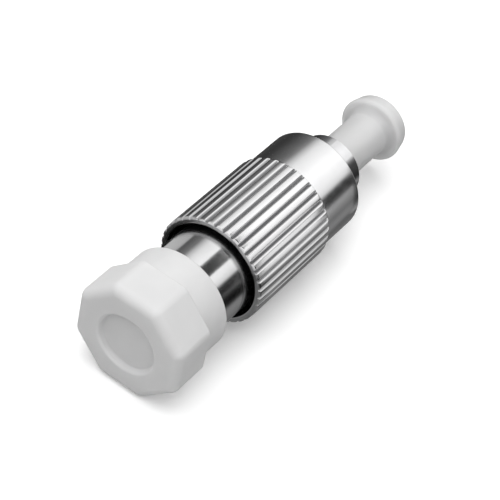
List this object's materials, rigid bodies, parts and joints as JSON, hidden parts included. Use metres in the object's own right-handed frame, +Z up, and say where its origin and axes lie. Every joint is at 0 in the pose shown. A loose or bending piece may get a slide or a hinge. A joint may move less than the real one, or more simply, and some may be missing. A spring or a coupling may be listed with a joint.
{
  "type": "fiber optic attenuator",
  "caption": "In-line fibre attenuator with a threaded female port, a fluted coupling nut on a spring-loaded ferrule plug, and two removable dust caps.",
  "frame": {"origin": "below the middle of the overall length, dust caps included, on the surface that the part lies on", "axes": "+X along the part's axis from the female port to the plug's ferrule, +Z up with the port's keyway and the plug's key at the top"},
  "size_m": [0.0368, 0.01, 0.01],
  "materials": {
    "cap_plastic": "soft moulded polyethylene, off-white",
    "tip_cap_plastic": "soft moulded polyethylene, milky",
    "plated_body": "bright nickel plate on turned brass",
    "plated_nut": "bright nickel plate on turned and fluted brass",
    "plated_inner": "satin nickel plate",
    "spring_steel": "drawn spring steel",
    "ferrule_ceramic": "ground and polished zirconia",
    "sleeve_ceramic": "ground zirconia",
    "epoxy": "cured amber resin",
    "fibre_glass": "doped silica fibre"
  },
  "bodies": {
    "housing": {"port_barrel": "plated_body", "sleeve_holder": "plated_inner", "split_sleeve": "sleeve_ceramic", "sleeve_lock_ring": "plated_inner", "spring_seat": "plated_inner", "ferrule_spring": "spring_steel", "plug_frame": "plated_body"},
    "ferrule_unit": {"rear_ferrule": "ferrule_ceramic", "front_ferrule": "ferrule_ceramic", "ferrule_tube": "plated_inner", "epoxy_core": "epoxy", "attenuating_fibre": "fibre_glass"},
    "nut_ring": {"nut_snap_ring": "spring_steel"},
    "nut": {"coupling_nut": "plated_nut"},
    "port_cap": {"port_dust_cap": "cap_plastic"},
    "ferrule_cap": {"ferrule_dust_cap": "tip_cap_plastic"}
  },
  "joints": [
    {"name": "port_cap_pull", "type": "slide", "parent": "housing", "child": "port_cap", "axis": [-1, 0, 0], "range_m": [0, 0.015]},
    {"name": "ferrule_float", "type": "slide", "parent": "housing", "child": "ferrule_unit", "axis": [-1, 0, 0], "range_m": [0, 0.001], "stiffness_N_per_m": 1200, "springref_m": -0.005, "deforming": ["ferrule_spring"]},
    {"name": "ferrule_cap_pull", "type": "slide", "parent": "ferrule_unit", "child": "ferrule_cap", "axis": [1, 0, 0], "range_m": [0, 0.01]},
    {"name": "nut_slide", "type": "slide", "parent": "housing", "child": "nut_ring", "axis": [1, 0, 0], "range_m": [0, 0.0029]},
    {"name": "nut_spin", "type": "hinge", "parent": "nut_ring", "child": "nut", "pos_m": [0, 0, 0.005], "axis": [1, 0, 0], "continuous": true}
  ]
}
